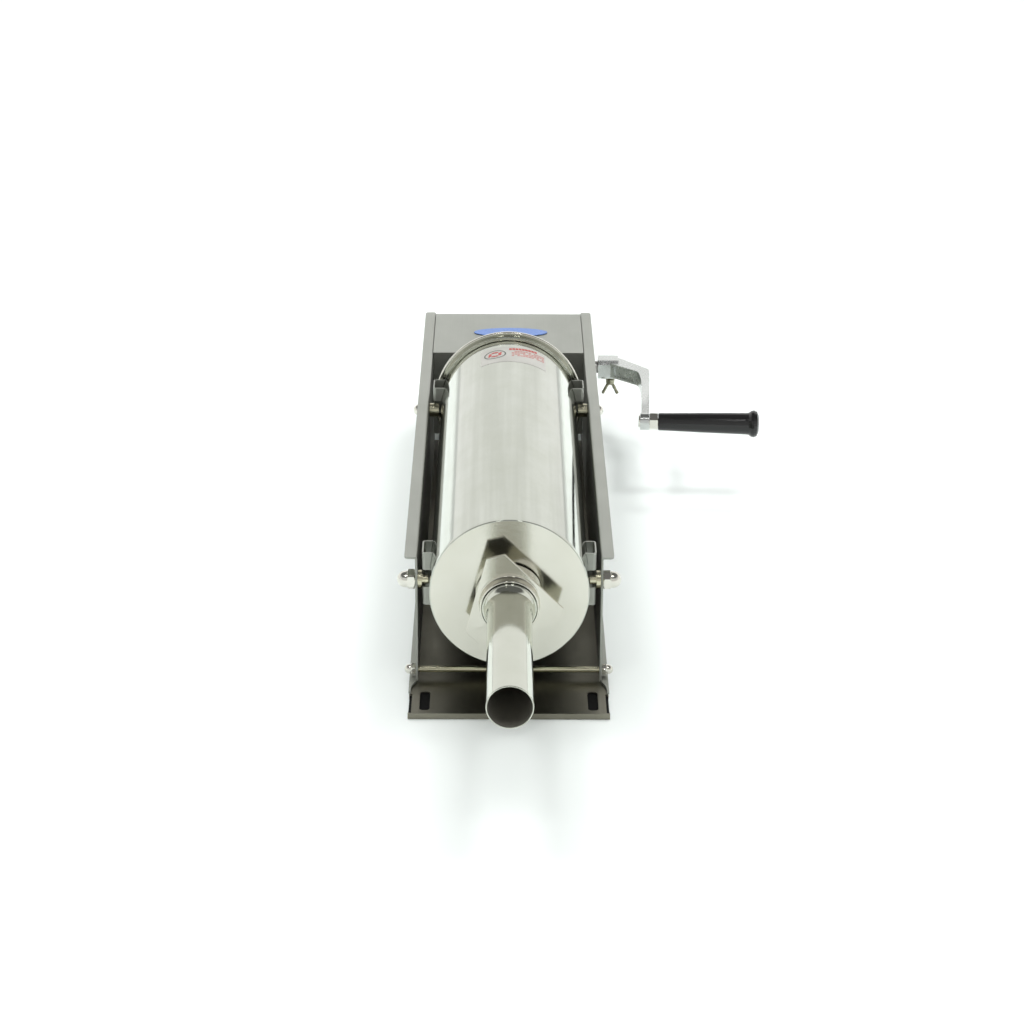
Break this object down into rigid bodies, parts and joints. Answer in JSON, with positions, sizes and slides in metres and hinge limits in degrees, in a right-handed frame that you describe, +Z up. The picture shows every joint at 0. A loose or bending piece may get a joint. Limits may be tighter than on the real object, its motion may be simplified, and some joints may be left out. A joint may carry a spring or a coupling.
{
  "type": "sausage stuffer",
  "caption": "Horizontal hand-cranked sausage stuffer: polished cylinder with nozzle and lobed lock nut, open steel base, geared rack and piston, side crank with grip.",
  "frame": {"origin": "on the table, in the middle of the flange folded under the tray's front lip", "axes": "-Y is the way the nozzle points, +X is the crank side, +Z is up"},
  "size_m": [0.3775, 0.9612, 0.195],
  "materials": {
    "satin": "satin brushed stainless sheet",
    "rubber": "matt black rubber",
    "nylon": "machined food-grade nylon",
    "blue": "gloss enamel",
    "plated": "bright plated",
    "bronze": "turned bearing bronze",
    "polished": "polished stainless",
    "zinc": "yellowish zinc plate",
    "steel": "machined, lightly oiled",
    "silicone": "matt silicone",
    "cast": "die-cast, lightly polished",
    "black_grip": "high gloss"
  },
  "bodies": {
    "base": {"base_tray": "satin", "corner_pad_left": "rubber", "corner_pad_right": "rubber", "side_plate_left": "satin", "side_plate_right": "satin", "gearbox_cover": "satin", "gear_frame_left": "satin", "gear_frame_right": "satin", "rack_guide_front": "nylon", "rack_guide_rear": "nylon", "name_badge": "blue", "cover_screw_1": "plated", "cover_screw_2": "plated", "cover_screw_3": "plated", "cover_screw_4": "plated", "crank_bush_left": "bronze", "crank_bush_right": "bronze", "gear_bush_left": "bronze", "gear_bush_right": "bronze", "crank_wall_bush": "bronze", "cylinder": "polished", "cylinder_rim": "polished", "front_bracket_left": "satin", "front_bracket_right": "satin", "rear_bracket_left": "satin", "rear_bracket_right": "satin", "pivot_stud_left": "zinc", "pivot_stud_right": "zinc", "hook_stud_left": "zinc", "hook_stud_right": "zinc", "tie_rod": "zinc", "pivot_cap_nut_left": "plated", "pivot_cap_nut_right": "plated", "hook_cap_nut_left": "plated", "hook_cap_nut_right": "plated", "rod_cap_nut_left": "plated", "rod_cap_nut_right": "plated"},
    "piston": {"rack": "steel", "rack_stop": "plated", "rack_stop_screw": "plated", "piston_disc": "nylon", "piston_seal": "silicone", "piston_nut": "plated"},
    "gear_set": {"gear_shaft": "steel", "drive_gear": "steel", "rack_pinion": "steel"},
    "crank": {"crank_shaft": "steel", "crank_pinion": "steel", "crank_arm": "cast", "grip_spindle": "plated", "grip_lock_nut": "plated"},
    "handle": {"grip": "black_grip"},
    "clamp": {"wing_screw": "plated"},
    "outlet": {"nozzle": "polished", "nozzle_gasket": "silicone"},
    "locknut": {"nozzle_nut": "polished"}
  },
  "joints": [
    {"name": "piston_travel", "type": "slide", "parent": "base", "child": "piston", "axis": [0, 1, 0], "range_m": [0, 0.5]},
    {"name": "gear_turn", "type": "hinge", "parent": "base", "child": "gear_set", "pos_m": [0, 0.6624, 0.09], "axis": [1, 0, 0], "range_deg": [-1637.1, 0]},
    {"name": "crank_turn", "type": "hinge", "parent": "base", "child": "crank", "pos_m": [0, 0.70603, 0.079], "axis": [1, 0, 0], "range_deg": [0, 4029.8]},
    {"name": "grip_spin", "type": "hinge", "parent": "crank", "child": "handle", "pos_m": [0.1496, 0.534, 0.079], "axis": [0.9985, -0.054, 0], "continuous": true},
    {"name": "clamp_turn", "type": "hinge", "parent": "crank", "child": "clamp", "pos_m": [0.1188, 0.70603, 0.05], "axis": [0, 0, 1], "range_deg": [0, 360]},
    {"name": "nozzle_release", "type": "slide", "parent": "base", "child": "outlet", "axis": [0, -1, 0], "range_m": [0, 0.01401]},
    {"name": "nut_turn", "type": "hinge", "parent": "outlet", "child": "locknut", "pos_m": [0, 0, 0.116], "axis": [0, -1, 0], "range_deg": [0, 1440]}
  ],
  "couplings": [
    {"joint": "gear_turn", "follows": "piston_travel", "rad_per_m": -57.143},
    {"joint": "crank_turn", "follows": "piston_travel", "rad_per_m": 140.66},
    {"joint": "nozzle_release", "follows": "nut_turn", "m_per_rad": 0.00055704}
  ]
}
